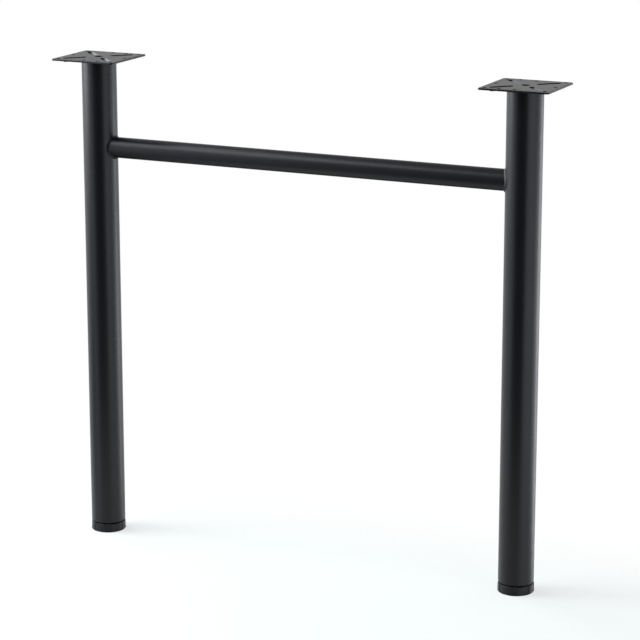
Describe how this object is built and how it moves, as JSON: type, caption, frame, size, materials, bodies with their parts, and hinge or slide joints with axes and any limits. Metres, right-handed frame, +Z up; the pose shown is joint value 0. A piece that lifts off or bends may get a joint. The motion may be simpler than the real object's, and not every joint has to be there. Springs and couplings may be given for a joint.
{
  "type": "table leg",
  "caption": "Welded H-shaped table leg: round steel legs, a round crossbar, pressed mounting plates with screw holes, and screw-in plastic levelling feet.",
  "frame": {"origin": "on the floor midway between the two legs, in the plane of their axes", "axes": "+X along the crossbar towards the leg on the right of the picture, +Y away from the pictured side, +Z up"},
  "size_m": [0.75, 0.1, 0.71],
  "materials": {
    "powder_coat": "satin black powder coat",
    "foot_plastic": "black moulded polypropylene, fine spark-eroded texture",
    "insert_plastic": "black moulded polyamide",
    "zinc_steel": "bright zinc-plated steel"
  },
  "bodies": {
    "frame": {"crossbar_tube": "powder_coat", "left_leg_tube": "powder_coat", "left_mounting_plate": "powder_coat", "left_plate_weld": "powder_coat", "left_crossbar_weld": "powder_coat", "left_foot_insert": "insert_plastic", "left_foot_nut": "zinc_steel", "right_leg_tube": "powder_coat", "right_mounting_plate": "powder_coat", "right_plate_weld": "powder_coat", "right_crossbar_weld": "powder_coat", "right_foot_insert": "insert_plastic", "right_foot_nut": "zinc_steel"},
    "left_stud": {"left_foot_stud": "zinc_steel"},
    "left_foot": {"left_foot_base": "foot_plastic"},
    "right_stud": {"right_foot_stud": "zinc_steel"},
    "right_foot": {"right_foot_base": "foot_plastic"}
  },
  "joints": [
    {"name": "left_foot_travel", "type": "slide", "parent": "frame", "child": "left_stud", "axis": [0, 0, -1], "range_m": [0, 0.015]},
    {"name": "left_foot_turn", "type": "hinge", "parent": "left_stud", "child": "left_foot", "pos_m": [-0.325, 0, 0], "axis": [0, 0, -1], "range_deg": [0, 3600]},
    {"name": "right_foot_travel", "type": "slide", "parent": "frame", "child": "right_stud", "axis": [0, 0, -1], "range_m": [0, 0.015]},
    {"name": "right_foot_turn", "type": "hinge", "parent": "right_stud", "child": "right_foot", "pos_m": [0.325, 0, 0], "axis": [0, 0, -1], "range_deg": [0, 3600]}
  ],
  "couplings": [
    {"joint": "left_foot_travel", "follows": "left_foot_turn", "m_per_rad": 0.00023873},
    {"joint": "right_foot_travel", "follows": "right_foot_turn", "m_per_rad": 0.00023873}
  ]
}
